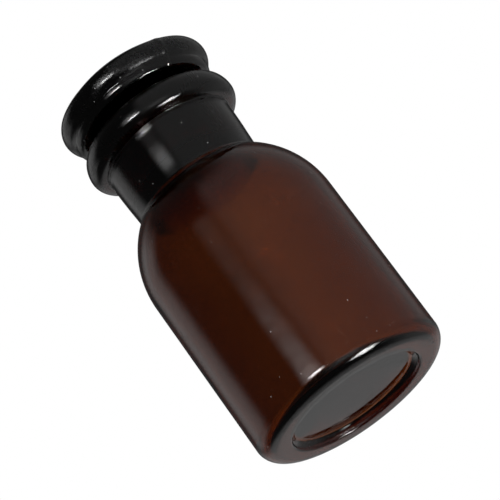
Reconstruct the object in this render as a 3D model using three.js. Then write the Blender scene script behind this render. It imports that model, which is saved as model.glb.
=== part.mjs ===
// Wide-mouth reagent bottle with a ground-in glass stopper.
// Millimetres, +Z up. The origin is the centre of the foot ring, on the surface the bottle stands on.
import * as THREE from 'three';

// Driving dimensions of the bottle
const BODY_RADIUS = 28;
const WALL = 2.5;
const HEEL_RADIUS = 4.5;
const FOOT_INNER_RADIUS = 19.4;
const RECESS_RADIUS = 17.8;
const RECESS_DEPTH = 2.2;
const FOOT_THICKNESS = 2.7;
const FLOOR_CROWN = 10;
const SHOULDER_START = 52.1;
const NECK_BASE_HEIGHT = 72.5;
const NECK_BASE_RADIUS = 18.45;
const NECK_TOP_RADIUS = 19;
const THROAT_RADIUS = 17.2;
const THROAT_HEIGHT = 70.4;
const LIP_RADIUS = 22.7;
const LIP_MIDDLE = 91.8;
const LIP_BELOW = 3.3;
const LIP_ABOVE = 4.6;
const RIM_RADIUS = 20.3;

// Driving dimensions of the ground joint, a 1:10 taper on the diameter
const JOINT_RADIUS = 14.6;
const JOINT_LENGTH = 15.5;
const JOINT_SLOPE = 0.05;
const JOINT_GAP = 0.3;

// Driving dimensions of the stopper
const PLUG_LENGTH = 14;
const PLUG_WALL = 3.6;
const PLUG_EDGE = 1;
const PLUG_ABOVE_RIM = 0.5;
const WAIST_RADIUS = 13.2;
const WAIST_HEIGHT = 1.2;
const HEAD_UNDERSIDE = 2.9;
const BEAD_RADIUS = 21.2;
const BEAD_ROUND = 2.3;
const HEAD_RADIUS = 22.9;
const HEAD_ROUND = 3.6;
const HEAD_MIDDLE = 9;
const DOME_SLOPE = 30;
const HEAD_TOP = 15.8;
const HEAD_FLAT_RADIUS = 8;
const HOLLOW_TOP = -1.5;

// Facets round the axis, and steps in a quarter turn of an outline
const SEGMENTS = 48;
const QUARTER_STEPS = 4;

const RIM_HEIGHT = LIP_MIDDLE + LIP_ABOVE;

const bottleGlass = new THREE.MeshStandardMaterial({ color: 0x4a2413, roughness: 0.05, metalness: 0 });
const stopperGlass = new THREE.MeshStandardMaterial({ color: 0x2c1a12, roughness: 0.08, metalness: 0 });

const point = (radius, height) => new THREE.Vector2(radius, height);

// Points of a part of an ellipse; angles in degrees, 0 pointing away from the axis and 90 up.
function arc(centreRadius, centreHeight, halfWidth, halfHeight, fromAngle, toAngle) {
  const steps = Math.max(2, Math.round((Math.abs(toAngle - fromAngle) / 90) * QUARTER_STEPS));
  return Array.from({ length: steps + 1 }, (_, step) => {
    const angle = THREE.MathUtils.degToRad(fromAngle + ((toAngle - fromAngle) * step) / steps);
    return point(centreRadius + halfWidth * Math.cos(angle), centreHeight + halfHeight * Math.sin(angle));
  });
}

function roundArc(centreRadius, centreHeight, radius, fromAngle, toAngle) {
  return arc(centreRadius, centreHeight, radius, radius, fromAngle, toAngle);
}

function bezier(start, startHandle, endHandle, end, steps) {
  return new THREE.CubicBezierCurve(start, startHandle, endHandle, end).getPoints(steps);
}

// The shoulder's outside, from the straight wall to the neck: it bulges out before it turns in.
function shoulderOutside() {
  const rise = 12.6;
  const tuckOut = 1.3;
  const tuckDown = 0.8;
  return bezier(
    point(BODY_RADIUS, SHOULDER_START),
    point(BODY_RADIUS, SHOULDER_START + rise),
    point(NECK_BASE_RADIUS + tuckOut, NECK_BASE_HEIGHT - tuckDown),
    point(NECK_BASE_RADIUS, NECK_BASE_HEIGHT),
    10,
  );
}

// The shoulder's inside, a wall's thickness in, from the throat down to the straight wall.
function shoulderInside() {
  const innerRadius = BODY_RADIUS - WALL;
  const rise = 11.2;
  return bezier(
    point(THROAT_RADIUS, THROAT_HEIGHT),
    point(THROAT_RADIUS + 1.5, THROAT_HEIGHT - 0.95),
    point(innerRadius, SHOULDER_START + rise),
    point(innerRadius, SHOULDER_START),
    10,
  );
}

// From the lower end of the ground joint, the neck's inside opens out to the throat.
function throat(jointBottomRadius, jointBottom) {
  return bezier(
    point(jointBottomRadius, jointBottom),
    point(jointBottomRadius, jointBottom - 5),
    point(THROAT_RADIUS - 1.7, THROAT_HEIGHT + 1.1),
    point(THROAT_RADIUS, THROAT_HEIGHT),
    5,
  ).slice(0, -1);
}

function bottleOutside() {
  const recessEdge = 0.8;
  return [
    point(0, RECESS_DEPTH),
    point(RECESS_RADIUS - recessEdge, RECESS_DEPTH),
    point(RECESS_RADIUS + recessEdge / 2, RECESS_DEPTH - recessEdge),
    point(FOOT_INNER_RADIUS - recessEdge / 2, recessEdge),
    point(FOOT_INNER_RADIUS + recessEdge / 2, 0),
    ...roundArc(BODY_RADIUS - HEEL_RADIUS, HEEL_RADIUS, HEEL_RADIUS, -90, 0),
    ...shoulderOutside(),
    ...neckSide(),
    ...arc(NECK_TOP_RADIUS, LIP_MIDDLE, LIP_RADIUS - NECK_TOP_RADIUS, LIP_BELOW, -90, 0),
    ...arc(RIM_RADIUS, LIP_MIDDLE, LIP_RADIUS - RIM_RADIUS, LIP_ABOVE, 0, 90).slice(1),
  ];
}

// The neck is slightly barrelled: it widens above its base and comes back to upright below the lip.
function neckSide() {
  const neckTop = LIP_MIDDLE - LIP_BELOW;
  const handle = 5;
  return bezier(
    point(NECK_BASE_RADIUS, NECK_BASE_HEIGHT),
    point(NECK_BASE_RADIUS + 0.25, NECK_BASE_HEIGHT + handle),
    point(NECK_TOP_RADIUS + 0.2, neckTop - handle),
    point(NECK_TOP_RADIUS, neckTop),
    4,
  ).slice(1, -1);
}

function bottleInside() {
  const mouthEdge = 0.8;
  const jointBottomRadius = JOINT_RADIUS - JOINT_LENGTH * JOINT_SLOPE;
  const jointBottom = RIM_HEIGHT - JOINT_LENGTH;
  const innerRadius = BODY_RADIUS - WALL;
  const innerHeel = 1.6;
  const wellRadius = 20.5;
  const crownRadius = 7;
  return [
    point(JOINT_RADIUS + mouthEdge, RIM_HEIGHT),
    point(JOINT_RADIUS, RIM_HEIGHT - mouthEdge),
    ...throat(jointBottomRadius, jointBottom),
    ...shoulderInside(),
    ...roundArc(innerRadius - innerHeel, FOOT_THICKNESS + innerHeel, innerHeel, 0, -90),
    ...bezier(
      point(wellRadius, FOOT_THICKNESS),
      point(wellRadius - 4, FOOT_THICKNESS),
      point(crownRadius + 5, FLOOR_CROWN),
      point(crownRadius, FLOOR_CROWN),
      8,
    ),
    point(0, FLOOR_CROWN),
  ];
}

// The stopper's own frame has its origin on the axis, level with the bottle's rim.
function stopperHollow() {
  const mouthRadius = JOINT_RADIUS - JOINT_GAP - PLUG_WALL;
  const topRadius = mouthRadius - 1.6;
  const crown = 3;
  return [
    point(0, HOLLOW_TOP),
    ...roundArc(topRadius - crown, HOLLOW_TOP - crown, crown, 90, 0),
    point(mouthRadius - PLUG_EDGE, -PLUG_LENGTH + PLUG_EDGE),
  ];
}

function stopperOutside() {
  const plugRadius = (height) => JOINT_RADIUS - JOINT_GAP + height * JOINT_SLOPE;
  const plugBottomRadius = plugRadius(-PLUG_LENGTH + PLUG_EDGE);
  const bottomRingRadius = JOINT_RADIUS - JOINT_GAP - PLUG_WALL;
  const plugTopRadius = plugRadius(PLUG_ABOVE_RIM);
  return [
    point(bottomRingRadius, -PLUG_LENGTH),
    ...roundArc(plugBottomRadius - PLUG_EDGE, -PLUG_LENGTH + PLUG_EDGE, PLUG_EDGE, -90, 0),
    point(plugTopRadius, PLUG_ABOVE_RIM),
    point(WAIST_RADIUS, WAIST_HEIGHT),
    ...headSide(),
    ...headDome(),
  ];
}

// From the flared underside round the lower bead, out along a chamfer and round the widest part.
function headSide() {
  const flare = 12;
  const chamfer = 37;
  const dome = 36;
  return [
    ...roundArc(BEAD_RADIUS - BEAD_ROUND, HEAD_UNDERSIDE + BEAD_ROUND, BEAD_ROUND, flare - 90, 0),
    ...roundArc(HEAD_RADIUS - HEAD_ROUND, HEAD_MIDDLE, HEAD_ROUND, -chamfer, 0),
    ...roundArc(HEAD_RADIUS - HEAD_ROUND, HEAD_MIDDLE, HEAD_ROUND, 0, dome).slice(1),
  ];
}

// The low dome: a cone from the edge of the head's side, which rounds off into a flat top.
function headDome() {
  const slope = THREE.MathUtils.degToRad(DOME_SLOPE);
  const side = headSide();
  const edge = side[side.length - 1];
  const coneHandle = 6;
  const start = point(edge.x - 0.2, edge.y + 0.2);
  const dome = bezier(
    start,
    point(start.x - coneHandle * Math.cos(slope), start.y + coneHandle * Math.sin(slope)),
    point(HEAD_FLAT_RADIUS + coneHandle / 2, HEAD_TOP),
    point(HEAD_FLAT_RADIUS, HEAD_TOP),
    6,
  );
  return [...dome, point(0, HEAD_TOP)];
}

// Turns an outline round the Z axis into a closed solid.
function turned(name, outline, material) {
  const geometry = new THREE.LatheGeometry(outline, SEGMENTS);
  geometry.rotateX(Math.PI / 2);
  const mesh = new THREE.Mesh(geometry, material);
  mesh.name = name;
  return mesh;
}

const bottle = turned('bottle', [...bottleOutside(), ...bottleInside()], bottleGlass);

const stopper = turned('stopper', [...stopperHollow(), ...stopperOutside()], stopperGlass);
stopper.position.z = RIM_HEIGHT;

const reagentBottle = new THREE.Group();
reagentBottle.add(bottle, stopper);

export default reagentBottle;
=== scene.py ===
"""An amber glass reagent bottle with its ground-in stopper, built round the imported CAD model.

Metres, +Z up. Every outline is turned round the Z axis: a list of (radius, height) points in millimetres,
given the bottle's main sizes by the CAD nodes' boxes.
"""
import math

import bpy
from mathutils import Matrix, Vector, noise


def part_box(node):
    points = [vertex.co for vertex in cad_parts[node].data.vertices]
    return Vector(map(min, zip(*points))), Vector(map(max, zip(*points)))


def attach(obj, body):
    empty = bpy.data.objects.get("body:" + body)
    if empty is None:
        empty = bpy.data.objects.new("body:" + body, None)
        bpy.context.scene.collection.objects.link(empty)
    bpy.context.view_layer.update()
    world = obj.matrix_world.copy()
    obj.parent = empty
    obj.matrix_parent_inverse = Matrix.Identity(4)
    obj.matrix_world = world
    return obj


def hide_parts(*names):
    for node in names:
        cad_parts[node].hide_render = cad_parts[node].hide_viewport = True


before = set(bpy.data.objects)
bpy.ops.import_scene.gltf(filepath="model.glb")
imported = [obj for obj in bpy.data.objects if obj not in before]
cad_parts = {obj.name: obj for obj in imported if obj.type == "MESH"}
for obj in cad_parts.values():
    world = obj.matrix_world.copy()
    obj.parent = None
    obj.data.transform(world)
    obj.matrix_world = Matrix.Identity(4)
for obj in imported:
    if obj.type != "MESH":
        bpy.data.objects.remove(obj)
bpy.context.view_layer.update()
MM = 0.001

# ---------------------------------------------------------------- sizes, in millimetres
BOTTLE_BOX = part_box("bottle")
STOPPER_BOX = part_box("stopper")
BODY_RADIUS = BOTTLE_BOX[1].x / MM
RIM_HEIGHT = BOTTLE_BOX[1].z / MM
HEAD_RADIUS = STOPPER_BOX[1].x / MM

# The bottle
WALL = 2.5
INNER_RADIUS = BODY_RADIUS - WALL
HEEL_RADIUS = 4.5
FOOT_INNER_RADIUS = 19.4
RECESS_RADIUS = 17.8
RECESS_DEPTH = 2.2
FOOT_THICKNESS = 2.7
FLOOR_CROWN = 10.0
SHOULDER_START = 52.1
NECK_BASE = (18.45, 72.5)
NECK_TOP_RADIUS = 19.0
THROAT = (17.2, 70.4)
LIP_RADIUS = 22.7
LIP_MIDDLE = 91.8
LIP_BELOW = 3.3
RIM_RADIUS = 19.7

# The ground joint, a 1:10 taper on the diameter
JOINT_RADIUS = 14.6
JOINT_LENGTH = 15.5
JOINT_BOTTOM = RIM_HEIGHT - JOINT_LENGTH
JOINT_SLOPE = 0.05
JOINT_BOTTOM_RADIUS = JOINT_RADIUS - JOINT_LENGTH * JOINT_SLOPE
JOINT_GAP = 0.12

# The stopper, with its heights above the bottle's rim
PLUG_END = STOPPER_BOX[0].z / MM - RIM_HEIGHT
HEAD_TOP = STOPPER_BOX[1].z / MM - RIM_HEIGHT
PLUG_WALL = 3.6
PLUG_EDGE = 1.0
WAIST = (13.2, 1.2)
HEAD_UNDERSIDE = 2.9
BEAD_RADIUS = 21.2
BEAD_ROUND = 2.3
HEAD_ROUND = 3.6
HEAD_MIDDLE = 9.0
DOME_SLOPE = 30.0
HEAD_FLAT_RADIUS = 9.5
HOLLOW_TOP = -1.5

# Segments round the axis, and how much finer and how many of them wide each mould seam is
SEGMENTS = 192
SEAM_SPLIT = 4
SEAM_SEGMENTS = 4

# Points of an outline nearer than this are one point
SAME_PLACE = 1e-4

# How scuffed the worn places are, and how dull the blown inside of the shoulder; the ground joint is 1
WORN_FOOT = 0.6
WORN_RECESS = 0.55
WORN_RIM = 0.9
INSIDE_DULL = 0.5

# The stopper's band is scuffed all round, and most towards one side
BAND_SCUFF = 0.25
SIDE_SCUFF = 0.6
SCUFFED_SIDE = math.radians(-72.0)

# Unevenness of the glass, and the mould seams of the stopper's head: their height, width and places
INNER_WAVES = 0.12
OUTER_WAVES = 0.012
HEAD_SEAM = 0.22
HEAD_SEAM_WIDTH = 0.055
HEAD_SEAMS = (math.radians(-52.0), math.radians(128.0))


# ---------------------------------------------------------------- outlines
def arc(centre, half_width, half_height, start, end, steps):
    """Part of an ellipse; degrees, 0 pointing away from the axis and 90 up."""
    points = []
    for step in range(steps + 1):
        angle = math.radians(start + (end - start) * step / steps)
        points.append((centre[0] + half_width * math.cos(angle), centre[1] + half_height * math.sin(angle)))
    return points


def bezier(start, start_handle, end_handle, end, steps):
    points = []
    for step in range(steps + 1):
        t = step / steps
        weights = ((1 - t) ** 3, 3 * t * (1 - t) ** 2, 3 * t * t * (1 - t), t ** 3)
        corners = (start, start_handle, end_handle, end)
        points.append(tuple(sum(w * p[i] for w, p in zip(weights, corners)) for i in (0, 1)))
    return points


def line(start, end, steps):
    return [tuple(a + (b - a) * step / steps for a, b in zip(start, end)) for step in range(steps + 1)]


def joined(*stretches):
    """One outline from stretches that each start where the last one ended."""
    outline = []
    for stretch in stretches:
        for place in stretch:
            if not outline or math.dist(place, outline[-1]) > SAME_PLACE:
                outline.append(place)
    return outline


def shoulder_outside():
    """From the straight wall to the neck: it bulges out before it turns in."""
    rise = 12.6
    tuck_out, tuck_down = 1.3, 0.8
    return bezier((BODY_RADIUS, SHOULDER_START), (BODY_RADIUS, SHOULDER_START + rise),
                  (NECK_BASE[0] + tuck_out, NECK_BASE[1] - tuck_down), NECK_BASE, 36)


def neck_side(ring_bottom):
    """Up the almost straight neck and over the fine ring below the lip."""
    lower_handle, upper_handle, draft = 4.5, 7.8, 0.06
    ring_out, ring_height, ring_edge = 0.16, 0.65, 0.15
    ring_radius = NECK_TOP_RADIUS + ring_out
    return joined(
        bezier(NECK_BASE, (NECK_BASE[0], NECK_BASE[1] + lower_handle),
               (NECK_TOP_RADIUS - draft, ring_bottom - upper_handle), (NECK_TOP_RADIUS, ring_bottom), 24),
        bezier((NECK_TOP_RADIUS, ring_bottom), (ring_radius, ring_bottom + ring_edge),
               (ring_radius, ring_bottom + ring_height - ring_edge),
               (NECK_TOP_RADIUS, ring_bottom + ring_height), 6),
    )


def foot():
    """From the axis over the recess, its wall and the foot ring to the top of the heel."""
    edge = 0.8
    recess_top = (RECESS_RADIUS - edge, RECESS_DEPTH)
    wall_top = (RECESS_RADIUS + edge, RECESS_DEPTH - edge)
    return joined(
        line((0.0, RECESS_DEPTH), recess_top, 12),
        bezier(recess_top, (RECESS_RADIUS, RECESS_DEPTH), (RECESS_RADIUS, RECESS_DEPTH), wall_top, 6),
        line(wall_top, (FOOT_INNER_RADIUS, edge), 4),
        arc((FOOT_INNER_RADIUS + edge, edge), edge, edge, 200, 270, 6),
        arc((BODY_RADIUS - HEEL_RADIUS, HEEL_RADIUS), HEEL_RADIUS, HEEL_RADIUS, -90, 0, 20),
    )


def bottle_outside():
    fillet = 0.5
    neck_top = LIP_MIDDLE - LIP_BELOW - fillet
    ring_below_top = 0.75
    return joined(
        foot(),
        line((BODY_RADIUS, HEEL_RADIUS), (BODY_RADIUS, SHOULDER_START), 24),
        shoulder_outside(),
        neck_side(neck_top - ring_below_top),
        arc((NECK_TOP_RADIUS + fillet, neck_top), fillet, fillet, 180, 90, 4),
        arc((NECK_TOP_RADIUS, LIP_MIDDLE), LIP_RADIUS - NECK_TOP_RADIUS, LIP_BELOW, -78, 0, 14),
        arc((RIM_RADIUS, LIP_MIDDLE), LIP_RADIUS - RIM_RADIUS, RIM_HEIGHT - LIP_MIDDLE, 0, 90, 18),
    )


def bottle_inside():
    mouth_edge = 0.8
    heel = 1.6
    rise = 11.2
    joint_handle = 5.0
    well_radius, well_handle = 20.5, 4
    crown_radius, crown_handle = 7.0, 5
    return joined(
        line((RIM_RADIUS, RIM_HEIGHT), (JOINT_RADIUS + mouth_edge, RIM_HEIGHT), 3),
        arc((JOINT_RADIUS + mouth_edge, RIM_HEIGHT - mouth_edge), mouth_edge, mouth_edge, 90, 180, 5),
        line((JOINT_RADIUS, RIM_HEIGHT - mouth_edge), (JOINT_BOTTOM_RADIUS, JOINT_BOTTOM), 22),
        bezier((JOINT_BOTTOM_RADIUS, JOINT_BOTTOM), (JOINT_BOTTOM_RADIUS, JOINT_BOTTOM - joint_handle),
               (THROAT[0] - 1.7, THROAT[1] + 1.1), THROAT, 20),
        bezier(THROAT, (THROAT[0] + 1.5, THROAT[1] - 0.95), (INNER_RADIUS, SHOULDER_START + rise),
               (INNER_RADIUS, SHOULDER_START), 32),
        line((INNER_RADIUS, SHOULDER_START), (INNER_RADIUS, FOOT_THICKNESS + heel), 20),
        arc((INNER_RADIUS - heel, FOOT_THICKNESS + heel), heel, heel, 0, -90, 14),
        bezier((well_radius, FOOT_THICKNESS), (well_radius - well_handle, FOOT_THICKNESS),
               (crown_radius + crown_handle, FLOOR_CROWN), (crown_radius, FLOOR_CROWN), 24),
        line((crown_radius, FLOOR_CROWN), (0.0, FLOOR_CROWN), 6),
    )


def plug_radius(height):
    return JOINT_RADIUS - JOINT_GAP + height * JOINT_SLOPE


def plug_and_waist():
    """From the end of the plug's hollow, round its edge, up the ground side and in to the waist."""
    top = 0.5
    waist_top = (WAIST[0] + 0.9, WAIST[1] + 0.15)
    end_radius = plug_radius(PLUG_END) - PLUG_EDGE
    return joined(
        line((JOINT_RADIUS - JOINT_GAP - PLUG_WALL, PLUG_END), (end_radius, PLUG_END), 4),
        arc((end_radius, PLUG_END + PLUG_EDGE), PLUG_EDGE, PLUG_EDGE, -90, 0, 6),
        line((plug_radius(PLUG_END + PLUG_EDGE), PLUG_END + PLUG_EDGE), (plug_radius(top), top), 24),
        bezier((plug_radius(top), top), (WAIST[0] + 0.2, top + 0.2),
               (WAIST[0] + 0.3, WAIST[1] - 0.2), waist_top, 6),
    )


def head_side():
    """Round the bead, out along the chamfer and round the head's widest part."""
    flare, bead_end = 12.0, -4
    chamfer, dome_edge = 48.0, 38.0
    bead = arc((BEAD_RADIUS - BEAD_ROUND, HEAD_UNDERSIDE + BEAD_ROUND), BEAD_ROUND, BEAD_ROUND,
               flare - 90, bead_end, 18)
    side = arc((HEAD_RADIUS - HEAD_ROUND, HEAD_MIDDLE), HEAD_ROUND, HEAD_ROUND, -chamfer, dome_edge, 24)
    groove = bezier(bead[-1], (bead[-1][0], bead[-1][1] + 0.35),
                    (side[0][0] - 0.9, side[0][1] - 1.2), side[0], 8)
    return joined(bead, groove, side)


def head_dome(edge):
    """A cone from the edge of the head's side, which rounds off into a flat top."""
    slope = math.radians(DOME_SLOPE)
    cone_handle = 6.0
    start = (edge[0] - 0.25, edge[1] + 0.2)
    cone = (start[0] - cone_handle * math.cos(slope), start[1] + cone_handle * math.sin(slope))
    flat_edge = (HEAD_FLAT_RADIUS, HEAD_TOP)
    dome = bezier(start, cone, (HEAD_FLAT_RADIUS + cone_handle / 2, HEAD_TOP), flat_edge, 24)
    return joined(dome, line(flat_edge, (0.0, HEAD_TOP), 8))


def stopper_outside():
    plug, side = plug_and_waist(), head_side()
    return joined(plug, line(plug[-1], side[0], 8), side, head_dome(side[-1]))


def stopper_hollow():
    mouth_radius = JOINT_RADIUS - JOINT_GAP - PLUG_WALL
    top_radius = mouth_radius - 1.6
    crown = 3.0
    mouth_edge = 1.0
    mouth_bottom = PLUG_END + mouth_edge
    return joined(
        line((0.0, HOLLOW_TOP), (top_radius - crown, HOLLOW_TOP), 4),
        arc((top_radius - crown, HOLLOW_TOP - crown), crown, crown, 90, 0, 8),
        line((top_radius, HOLLOW_TOP - crown), (mouth_radius - mouth_edge, mouth_bottom), 14),
        arc((mouth_radius, mouth_bottom), mouth_edge, mouth_edge, 180, 270, 5),
    )


# ---------------------------------------------------------------- meshes
def waves(radius, angle, height, size, seed):
    """Smooth unevenness from -1 to 1, with waves about size millimetres long."""
    place = Vector((radius * math.cos(angle), radius * math.sin(angle), height)) / size
    return noise.noise(place + Vector((seed, 2.7 * seed, -seed)))


def smooth_step(start, end, value):
    t = min(1.0, max(0.0, (value - start) / (end - start)))
    return t * t * (3 - 2 * t)


def seam_angles(seams):
    """Every segment's angle, with extra ones close together at each mould seam."""
    step = 2 * math.pi / SEGMENTS
    angles = [step * segment for segment in range(SEGMENTS)]
    reach = SEAM_SPLIT * SEAM_SEGMENTS
    for seam in seams:
        nearest = round(seam / step)
        parts = [part for part in range(1 - reach, reach) if part % SEAM_SPLIT]
        angles += [step * (nearest + part / SEAM_SPLIT) % (2 * math.pi) for part in parts]
    return sorted(angles)


def new_object(name, data):
    made = bpy.data.objects.new(name, data)
    bpy.context.scene.collection.objects.link(made)
    return made


def turned(name, outline, lift, finish, uneven, seams):
    """Turns an outline that starts and ends on the axis.

    finish(radius, height, angle) is how dull and how scuffed the glass is, each from 0 to 1, and
    uneven(radius, height, angle) is how far the surface moves out and up, in millimetres.
    """
    angles = seam_angles(seams)
    vertices, faces, finishes, rings = [], [], [], []
    for radius, height in outline:
        ring = []
        for angle in angles if radius > SAME_PLACE else [0.0]:
            out, up = uneven(radius, height, angle)
            ring.append(len(vertices))
            vertices.append(((radius + out) * math.cos(angle) * MM, (radius + out) * math.sin(angle) * MM,
                             (height + lift + up) * MM))
            finishes.append(finish(radius, height, angle))
        rings.append(ring)
    for lower, upper in zip(rings[:-1], rings[1:]):
        for segment in range(len(angles)):
            following = (segment + 1) % len(angles)
            if len(lower) == 1:
                faces.append((lower[0], upper[following], upper[segment]))
            elif len(upper) == 1:
                faces.append((lower[segment], lower[following], upper[0]))
            else:
                faces.append((lower[segment], lower[following], upper[following], upper[segment]))
    mesh = bpy.data.meshes.new(name)
    mesh.from_pydata(vertices, [], faces)
    for attribute, values in zip(("dull", "scuffed"), zip(*finishes)):
        mesh.attributes.new(attribute, "FLOAT", "POINT").data.foreach_set("value", values)
    mesh.polygons.foreach_set("use_smooth", [True] * len(mesh.polygons))
    mesh.update()
    return new_object(name, mesh)


def is_inside(radius, height):
    """True on the bottle's inner wall. In the shoulder, a curve inside the glass parts its two sides."""
    if height < FOOT_THICKNESS or radius > INNER_RADIUS + 0.1:
        return False
    if height < SHOULDER_START:
        return True
    shoulder_height = 20.0
    below_neck = max(0.0, NECK_BASE[1] - height) / shoulder_height
    middle = NECK_BASE[0] + (BODY_RADIUS - NECK_BASE[0]) * below_neck ** 0.5
    return radius < middle - WALL / 2


def bottle_finish(radius, height, angle):
    """Ground in the joint, dull inside the shoulder, scuffed on the rim, the foot and the recess's wall."""
    in_joint = radius < JOINT_RADIUS + 0.2 and height > JOINT_BOTTOM
    if is_inside(radius, height) or in_joint:
        if height > RIM_HEIGHT - 0.5:
            return 0.0, 0.0
        dull = INSIDE_DULL * smooth_step(SHOULDER_START - 2, SHOULDER_START + 10, height)
        return max(dull, smooth_step(JOINT_BOTTOM - 4, JOINT_BOTTOM, height)), 0.0
    if height < RECESS_DEPTH and radius < FOOT_INNER_RADIUS + 1:
        above_foot = smooth_step(0.0, 0.6, height)
        below_disc = 1 - smooth_step(RECESS_DEPTH - 0.7, RECESS_DEPTH, height)
        return 0.0, WORN_RECESS * above_foot * below_disc
    on_foot = height < 0.9 and radius < BODY_RADIUS - HEEL_RADIUS + 1.5
    on_rim = smooth_step(RIM_HEIGHT - 1.3, RIM_HEIGHT - 0.9, height)
    return 0.0, max(WORN_RIM * on_rim, WORN_FOOT if on_foot else 0.0)


def stopper_finish(radius, height, angle):
    """Ground down the plug's side, scuffed in a band round the head."""
    if PLUG_END + 0.9 < height < 0.6 and radius > JOINT_BOTTOM_RADIUS - 0.5:
        return 1.0, 0.0
    band_start, band_end = HEAD_UNDERSIDE + 1.2 * BEAD_ROUND, HEAD_MIDDLE + 0.6 * HEAD_ROUND
    lower = smooth_step(band_start, band_start + 0.8, height)
    upper = 1 - smooth_step(band_end - 1.4, band_end, height)
    around = (0.5 + 0.5 * math.cos(angle - SCUFFED_SIDE)) ** 3
    return 0.0, (BAND_SCUFF + SIDE_SCUFF * around) * lower * upper


def bottle_uneven(radius, height, angle):
    """The blown inside is wavy away from the ground joint, and the moulded outside barely."""
    if not is_inside(radius, height):
        return -OUTER_WAVES * (1 + waves(radius, angle, height, 14, 5.0)), 0.0
    amount = INNER_WAVES * (1 - smooth_step(THROAT[1] - 6, THROAT[1] + 3, height))
    out = amount * min(1.0, radius / 10) * waves(radius, angle, height, 9, 1.0)
    on_crown = smooth_step(FOOT_THICKNESS, FLOOR_CROWN, height)
    return out, amount * on_crown * waves(radius, angle, height, 9, 3.0)


def seam_ridge(angle, seams, half_width):
    """1 on a mould seam, falling to 0 at half_width radians from it."""
    away = min(abs((angle - seam + math.pi) % (2 * math.pi) - math.pi) for seam in seams)
    return 1 - smooth_step(0, half_width, away)


def stopper_uneven(radius, height, angle):
    """Mould seams stand proud down the head's side and narrow downwards; the plug and hollow are true."""
    head = smooth_step(WAIST[1], HEAD_UNDERSIDE, height) * smooth_step(6.0, JOINT_RADIUS, radius)
    if not head:
        return 0.0, 0.0
    side = head * (1 - smooth_step(HEAD_MIDDLE + 2.5, HEAD_MIDDLE + 4.5, height))
    half_width = HEAD_SEAM_WIDTH * (0.5 + height / HEAD_MIDDLE) / 1.5
    below_seam = HEAD_SEAM * side * (1 - seam_ridge(angle, HEAD_SEAMS, half_width))
    return -below_seam - head * OUTER_WAVES * (1 + waves(radius, angle, height, 8, 7.0)), 0.0


# ---------------------------------------------------------------- materials
def node(tree, kind, **values):
    made = tree.nodes.new(kind)
    for key, value in values.items():
        setattr(made, key, value)
    return made


class Sum:
    """Builds a chain of math nodes."""

    def __init__(self, tree):
        self.tree = tree

    def math(self, operation, first, second=None, third=None):
        made = node(self.tree, "ShaderNodeMath", operation=operation)
        for socket, value in zip(made.inputs, (first, second, third)):
            if isinstance(value, bpy.types.NodeSocket):
                self.tree.links.new(value, socket)
            elif value is not None:
                socket.default_value = value
        return made.outputs["Value"]


def ramp(tree, value, start, end, before, after):
    """before as far as start, changing smoothly to after at end."""
    made = node(tree, "ShaderNodeMapRange", interpolation_type="SMOOTHSTEP")
    tree.links.new(value, made.inputs["Value"])
    made.inputs["From Min"].default_value = start
    made.inputs["From Max"].default_value = end
    made.inputs["To Min"].default_value = before
    made.inputs["To Max"].default_value = after
    return made.outputs["Result"]


def ramp_up(tree, value, start, end):
    return ramp(tree, value, start, end, 0.0, 1.0)


def fade(tree, value, start, end):
    return ramp(tree, value, start, end, 1.0, 0.0)


def new_material(name):
    material = bpy.data.materials.new(name)
    material.use_nodes = True
    material.node_tree.nodes.clear()
    return material


ABSORPTION_PER_METRE = (390.0, 720.0, 1200.0)
GLASS_IOR = 1.52

# How strongly each finish acts: on the roughness, on the relief or on the light let through
SCRATCH_ROUGHNESS = 0.12
SCRATCH_RELIEF = -0.25
WAVE_RELIEF = 3.0
DUST_SHADE = 0.3
RELIEF_STRENGTH = 0.5
RELIEF_DEPTH = 0.00003


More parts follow.
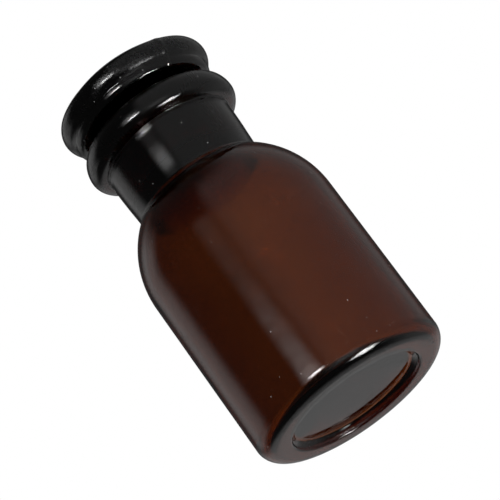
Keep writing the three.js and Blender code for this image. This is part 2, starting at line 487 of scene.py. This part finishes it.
def amber_glass(name, polished, ground, haze, depth, dusty):
    """Polished glass with smudges, dust and fine scratches, rougher where its attributes say.

    polished and ground are roughnesses and haze is what smudges add; depth multiplies the colour's
    absorption, and dusty is the part of the surface's cells that holds a speck.
    """
    material = new_material(name)
    tree = material.node_tree
    sums = Sum(tree)
    output = node(tree, "ShaderNodeOutputMaterial")
    shader = node(tree, "ShaderNodeBsdfPrincipled")
    shader.inputs["IOR"].default_value = GLASS_IOR
    tree.links.new(shader.outputs["BSDF"], output.inputs["Surface"])
    place = node(tree, "ShaderNodeTexCoord").outputs["Object"]

    smudges = ramp_up(tree, noise_at(tree, place, scale=70, detail=5), start=0.5, end=0.75)
    grain = ramp_up(tree, noise_at(tree, place, scale=1500, detail=3), start=0.35, end=0.65)
    patches = ramp_up(tree, noise_at(tree, place, scale=260, detail=4), start=0.3, end=0.6)
    scratches = fine_scratches(tree, place)
    dust = dust_specks(tree, place, dusty)

    dull = node(tree, "ShaderNodeAttribute", attribute_name="dull").outputs["Fac"]
    scuffed = node(tree, "ShaderNodeAttribute", attribute_name="scuffed").outputs["Fac"]
    broken = sums.math("MULTIPLY", sums.math("MULTIPLY_ADD", grain, 0.5, 0.5), patches)
    marks = sums.math("MULTIPLY", broken, scuffed)
    rough = sums.math("MAXIMUM", dull, marks)
    roughness = sums.math("MULTIPLY_ADD", rough, ground - polished, polished)
    roughness = sums.math("MULTIPLY_ADD", smudges, haze, roughness)
    roughness = sums.math("MULTIPLY_ADD", scratches, SCRATCH_ROUGHNESS, roughness)
    tree.links.new(roughness, shader.inputs["Roughness"])

    shader.inputs["Base Color"].default_value = (1, 1, 1, 1)
    clear = sums.math("SUBTRACT", 1.0, sums.math("MULTIPLY", dust, DUST_SHADE))
    tree.links.new(clear, shader.inputs["Transmission Weight"])

    ground_faces = sums.math("POWER", dull, 6.0)
    relief = sums.math("MULTIPLY", sums.math("MAXIMUM", ground_faces, marks), grain)
    relief = sums.math("MULTIPLY_ADD", noise_at(tree, place, scale=120, detail=2), WAVE_RELIEF, relief)
    relief = sums.math("MULTIPLY_ADD", scratches, SCRATCH_RELIEF, relief)
    bump = node(tree, "ShaderNodeBump")
    bump.inputs["Strength"].default_value = RELIEF_STRENGTH
    bump.inputs["Distance"].default_value = RELIEF_DEPTH
    tree.links.new(relief, bump.inputs["Height"])
    tree.links.new(bump.outputs["Normal"], shader.inputs["Normal"])

    volume = node(tree, "ShaderNodeVolumeAbsorption")
    density = max(ABSORPTION_PER_METRE)
    volume.inputs["Density"].default_value = density * depth
    volume.inputs["Color"].default_value = (*(1 - a / density for a in ABSORPTION_PER_METRE), 1)
    tree.links.new(volume.outputs["Volume"], output.inputs["Volume"])
    return material


def noise_at(tree, place, scale, detail):
    """Noise with scale waves to the metre."""
    made = node(tree, "ShaderNodeTexNoise")
    made.inputs["Scale"].default_value = scale
    made.inputs["Detail"].default_value = detail
    tree.links.new(place, made.inputs["Vector"])
    return made.outputs["Fac"]


def fine_scratches(tree, place):
    """Hairlines along two slanting directions, where a noise drawn out into threads crosses its middle."""
    sums = Sum(tree)
    hairline = 0.012
    across, along = 900, 45
    total = 0.0
    for turn, seed in ((0.6, 0.0), (-1.1, 0.37)):
        threads = node(tree, "ShaderNodeMapping")
        threads.inputs["Location"].default_value = (seed, seed, seed)
        threads.inputs["Rotation"].default_value = (turn, turn / 2, turn)
        threads.inputs["Scale"].default_value = (across, across, along)
        tree.links.new(place, threads.inputs["Vector"])
        drawn_out = noise_at(tree, threads.outputs["Vector"], scale=1.0, detail=1)
        middle = sums.math("SUBTRACT", drawn_out, 0.5)
        on_line = fade(tree, sums.math("ABSOLUTE", middle), 0.0, hairline)
        here = ramp_up(tree, noise_at(tree, place, scale=95 + 60 * seed, detail=2), start=0.55, end=0.68)
        total = sums.math("ADD", sums.math("MULTIPLY", on_line, here), total)
    return total


def dust_specks(tree, place, dusty):
    """Round specks a tenth of a millimetre or so across; dusty is the part of the cells that has one."""
    sums = Sum(tree)
    smallest, spread = 0.04, 0.08
    cells_per_metre = 850
    cells = node(tree, "ShaderNodeTexVoronoi")
    cells.inputs["Scale"].default_value = cells_per_metre
    tree.links.new(place, cells.inputs["Vector"])
    parts = node(tree, "ShaderNodeSeparateColor")
    tree.links.new(cells.outputs["Color"], parts.inputs["Color"])
    chosen = sums.math("LESS_THAN", parts.outputs["Red"], dusty)
    size = sums.math("MULTIPLY_ADD", parts.outputs["Green"], spread, smallest)
    return sums.math("MULTIPLY", chosen, sums.math("LESS_THAN", cells.outputs["Distance"], size))


# ---------------------------------------------------------------- the object
bottle = turned("bottle_glass", joined(bottle_outside(), bottle_inside()), 0.0,
                bottle_finish, bottle_uneven, ())
bottle_glass = amber_glass("bottle glass", polished=0.02, ground=0.4, haze=0.03, depth=1.0, dusty=0.06)
bottle.data.materials.append(bottle_glass)
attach(bottle, "bottle")
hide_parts("bottle")

stopper = turned("stopper_glass", joined(stopper_hollow(), stopper_outside()), RIM_HEIGHT,
                 stopper_finish, stopper_uneven, HEAD_SEAMS)
stopper_glass = amber_glass("stopper glass", polished=0.03, ground=0.42, haze=0.06, depth=2.5, dusty=0.14)
stopper.data.materials.append(stopper_glass)
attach(stopper, "stopper")
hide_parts("stopper")


# ---------------------------------------------------------------- the studio
def direction(azimuth, elevation):
    """Azimuth 0 points along -Y, 90 along +X; degrees."""
    a, e = math.radians(azimuth), math.radians(elevation)
    return Vector((math.sin(a) * math.cos(e), -math.cos(a) * math.cos(e), math.sin(e)))


CENTRE = Vector((0.0, 0.0, 0.055))

# What the glass sees of the studio, in degrees and radiance. Each glow: azimuth, half width, soft edge;
# elevation, half height, soft edge; radiance
GLOWS = [
    (70, 66, 20, 10, 45, 30, 0.31),
    (-21, 3, 14, 0, 16.5, 5, 2.1),
    (-21, 3, 14, 5, 22, 12, 0.28),
    (22, 8, 12, -32, 8, 10, 0.45),
    (-122, 8, 22, 15, 20, 20, 0.58),
]
# What lights the bottle from behind; only rays that come through the glass see it
BACK_GLOW = (180, 20, 20, 27, 12, 22, 0.75)
# What the base reflects; this share of it is lost to rays that come through the glass
BASE_GLOW = (180, 20, 20, -30, 25, 25, 0.42)
THROUGH_GLASS_LOSS = 0.45
AMBIENT = 0.055


def studio_world():
    """Plain white for the camera and the floor; dim, with soft glows, for rays that meet the glass."""
    world = bpy.data.worlds.new("studio")
    bpy.context.scene.world = world
    world.use_nodes = True
    tree = world.node_tree
    tree.nodes.clear()
    sums = Sum(tree)
    coordinates = node(tree, "ShaderNodeTexCoord")
    parts = node(tree, "ShaderNodeSeparateXYZ")
    tree.links.new(coordinates.outputs["Generated"], parts.inputs["Vector"])
    flipped = sums.math("MULTIPLY", parts.outputs["Y"], -1.0)
    azimuth = sums.math("DEGREES", sums.math("ARCTAN2", parts.outputs["X"], flipped))
    elevation = sums.math("DEGREES", sums.math("ARCSINE", parts.outputs["Z"]))

    def glow(turn, half_width, side_edge, height, half_height, top_edge, radiance):
        # How far the ray is from the glow's azimuth, the short way round
        away = sums.math("FLOORED_MODULO", sums.math("ADD", azimuth, 540.0 - turn), 360.0)
        away = sums.math("ABSOLUTE", sums.math("SUBTRACT", away, 180.0))
        above = sums.math("ABSOLUTE", sums.math("SUBTRACT", elevation, height))
        across = fade(tree, away, half_width, half_width + side_edge)
        upward = fade(tree, above, half_height, half_height + top_edge)
        return sums.math("MULTIPLY", sums.math("MULTIPLY", across, upward), radiance)

    path = node(tree, "ShaderNodeLightPath")
    behind = sums.math("MULTIPLY", glow(*BACK_GLOW), path.outputs["Is Transmission Ray"])
    share = sums.math("MULTIPLY_ADD", path.outputs["Is Transmission Ray"], -THROUGH_GLASS_LOSS, 1.0)
    total = sums.math("ADD", AMBIENT, behind)
    total = sums.math("MULTIPLY_ADD", glow(*BASE_GLOW), share, total)
    for values in GLOWS:
        total = sums.math("ADD", total, glow(*values))
    dim = node(tree, "ShaderNodeBackground")
    tree.links.new(total, dim.inputs["Strength"])
    white = node(tree, "ShaderNodeBackground")
    white.inputs["Color"].default_value = (1, 1, 1, 1)
    bare = sums.math("MAXIMUM", path.outputs["Is Camera Ray"], path.outputs["Is Diffuse Ray"])
    mix = node(tree, "ShaderNodeMixShader")
    tree.links.new(bare, mix.inputs["Fac"])
    tree.links.new(dim.outputs["Background"], mix.inputs[1])
    tree.links.new(white.outputs["Background"], mix.inputs[2])
    output = node(tree, "ShaderNodeOutputWorld")
    tree.links.new(mix.outputs["Shader"], output.inputs["Surface"])


def painted_shade_film():
    """A film of painted shade just behind the bottle, standing in for the shade behind it as seen through
    the glass: denser on the left, fading out at all its edges.

    It holds back light, and only rays that come through the glass see it.
    """
    reach, back, top = 0.06, 0.045, 0.13
    # How dense the painted shade is on the left and on the right, and how wide its change between them
    left, right, blend = 0.65, 0.25, 0.009
    bottom_edge = 0.03
    mesh = bpy.data.meshes.new("painted_shade_film")
    corners = [(-reach, back, 0), (reach, back, 0), (reach, back, top), (-reach, back, top)]
    mesh.from_pydata(corners, [], [(0, 1, 2, 3)])
    material = new_material("painted shade film")
    mesh.materials.append(material)
    tree = material.node_tree
    sums = Sum(tree)
    geometry = node(tree, "ShaderNodeNewGeometry")
    parts = node(tree, "ShaderNodeSeparateXYZ")
    tree.links.new(geometry.outputs["Position"], parts.inputs["Vector"])
    on_left = fade(tree, parts.outputs["X"], -blend, blend)
    density = sums.math("MULTIPLY_ADD", on_left, left - right, right)
    across = fade(tree, sums.math("ABSOLUTE", parts.outputs["X"]), reach / 2, reach)
    upward = fade(tree, parts.outputs["Z"], 0.7 * top, top)
    downward = ramp_up(tree, parts.outputs["Z"], 0.0, bottom_edge)
    for edge in (across, upward, downward):
        density = sums.math("MULTIPLY", density, edge)
    clear = node(tree, "ShaderNodeBsdfTransparent")
    tree.links.new(sums.math("SUBTRACT", 1.0, density), clear.inputs["Color"])
    output = node(tree, "ShaderNodeOutputMaterial")
    tree.links.new(clear.outputs["BSDF"], output.inputs["Surface"])
    film = new_object("painted_shade_film", mesh)
    for name in ("camera", "diffuse", "glossy", "shadow", "volume_scatter"):
        setattr(film, "visible_" + name, False)


def softbox(name, azimuth, elevation, distance, width, height, radiance):
    """A window-like lamp aimed at the bottle, even over its middle and fading towards its sides."""
    light = bpy.data.lights.new(name, "AREA")
    light.shape = "RECTANGLE"
    light.size = width
    light.size_y = height
    light.energy = radiance * math.pi * width * height
    light.use_nodes = True
    tree = light.node_tree
    geometry = node(tree, "ShaderNodeNewGeometry")
    parts = node(tree, "ShaderNodeSeparateXYZ")
    tree.links.new(geometry.outputs["Parametric"], parts.inputs["Vector"])
    sums = Sum(tree)
    middle, even = 0.5, 0.12
    level = 1.0
    for axis in ("X", "Y"):
        away = sums.math("ABSOLUTE", sums.math("SUBTRACT", parts.outputs[axis], middle))
        level = sums.math("MULTIPLY", level, fade(tree, away, even, middle))
    tree.links.new(level, tree.nodes["Emission"].inputs["Strength"])
    box = new_object(name, light)
    outward = direction(azimuth, elevation)
    box.location = CENTRE + outward * distance
    box.rotation_mode = "QUATERNION"
    box.rotation_quaternion = outward.to_track_quat("Z", "Y")


def pale_floor():
    """Pale from above and clear from below, where the main camera looks up at the base."""
    reach, below = 1.5, -0.0003
    pale = 0.86
    mesh = bpy.data.meshes.new("floor")
    ends = ((-reach, -reach), (reach, -reach), (reach, reach), (-reach, reach))
    corners = [(x, y, below) for x, y in ends]
    mesh.from_pydata(corners, [], [(0, 1, 2, 3)])
    material = new_material("pale floor")
    mesh.materials.append(material)
    tree = material.node_tree
    diffuse = node(tree, "ShaderNodeBsdfDiffuse")
    diffuse.inputs["Color"].default_value = (pale, pale, pale, 1)
    clear = node(tree, "ShaderNodeBsdfTransparent")
    geometry = node(tree, "ShaderNodeNewGeometry")
    mix = node(tree, "ShaderNodeMixShader")
    tree.links.new(geometry.outputs["Backfacing"], mix.inputs["Fac"])
    tree.links.new(diffuse.outputs["BSDF"], mix.inputs[1])
    tree.links.new(clear.outputs["BSDF"], mix.inputs[2])
    output = node(tree, "ShaderNodeOutputMaterial")
    tree.links.new(mix.outputs["Shader"], output.inputs["Surface"])
    floor = new_object("floor", mesh)
    floor.visible_glossy = False
    floor.visible_shadow = False


def main_camera():
    """Looks up at the base from in front, rolled so that the bottle lies across the picture."""
    rise = math.radians(21.5)
    roll = math.radians(36.167)
    distance = 0.6708
    aim_right, aim_up = 0.00078, 0.04708
    lens = 190.5
    across = Vector((1, 0, 0))
    upward = Vector((0, -math.sin(rise), math.cos(rise)))
    forward = Vector((0, math.cos(rise), math.sin(rise)))
    right = across * math.cos(roll) - upward * math.sin(roll)
    up = across * math.sin(roll) + upward * math.cos(roll)
    camera = new_object("camera", bpy.data.cameras.new("camera"))
    camera.data.sensor_width = 36
    camera.data.lens = lens
    camera.data.clip_start = 0.01
    place = across * aim_right + upward * aim_up - forward * distance
    camera.matrix_world = Matrix((
        (right.x, up.x, -forward.x, place.x),
        (right.y, up.y, -forward.y, place.y),
        (right.z, up.z, -forward.z, place.z),
        (0, 0, 0, 1)))
    bpy.context.scene.camera = camera


studio_world()
softbox("window_a", azimuth=-16, elevation=-9.5, distance=0.8, width=0.34, height=0.3, radiance=20)
softbox("window_b", azimuth=58, elevation=-61, distance=0.8, width=0.34, height=0.38, radiance=22)
# A sheet of painted shade behind the bottle, seen only through the glass
painted_shade_film()
pale_floor()
main_camera()

scene = bpy.context.scene
scene.view_settings.view_transform = "Standard"
scene.cycles.max_bounces = 24
scene.cycles.transmission_bounces = 24
scene.cycles.transparent_max_bounces = 16
scene.cycles.caustics_reflective = False
scene.cycles.caustics_refractive = False
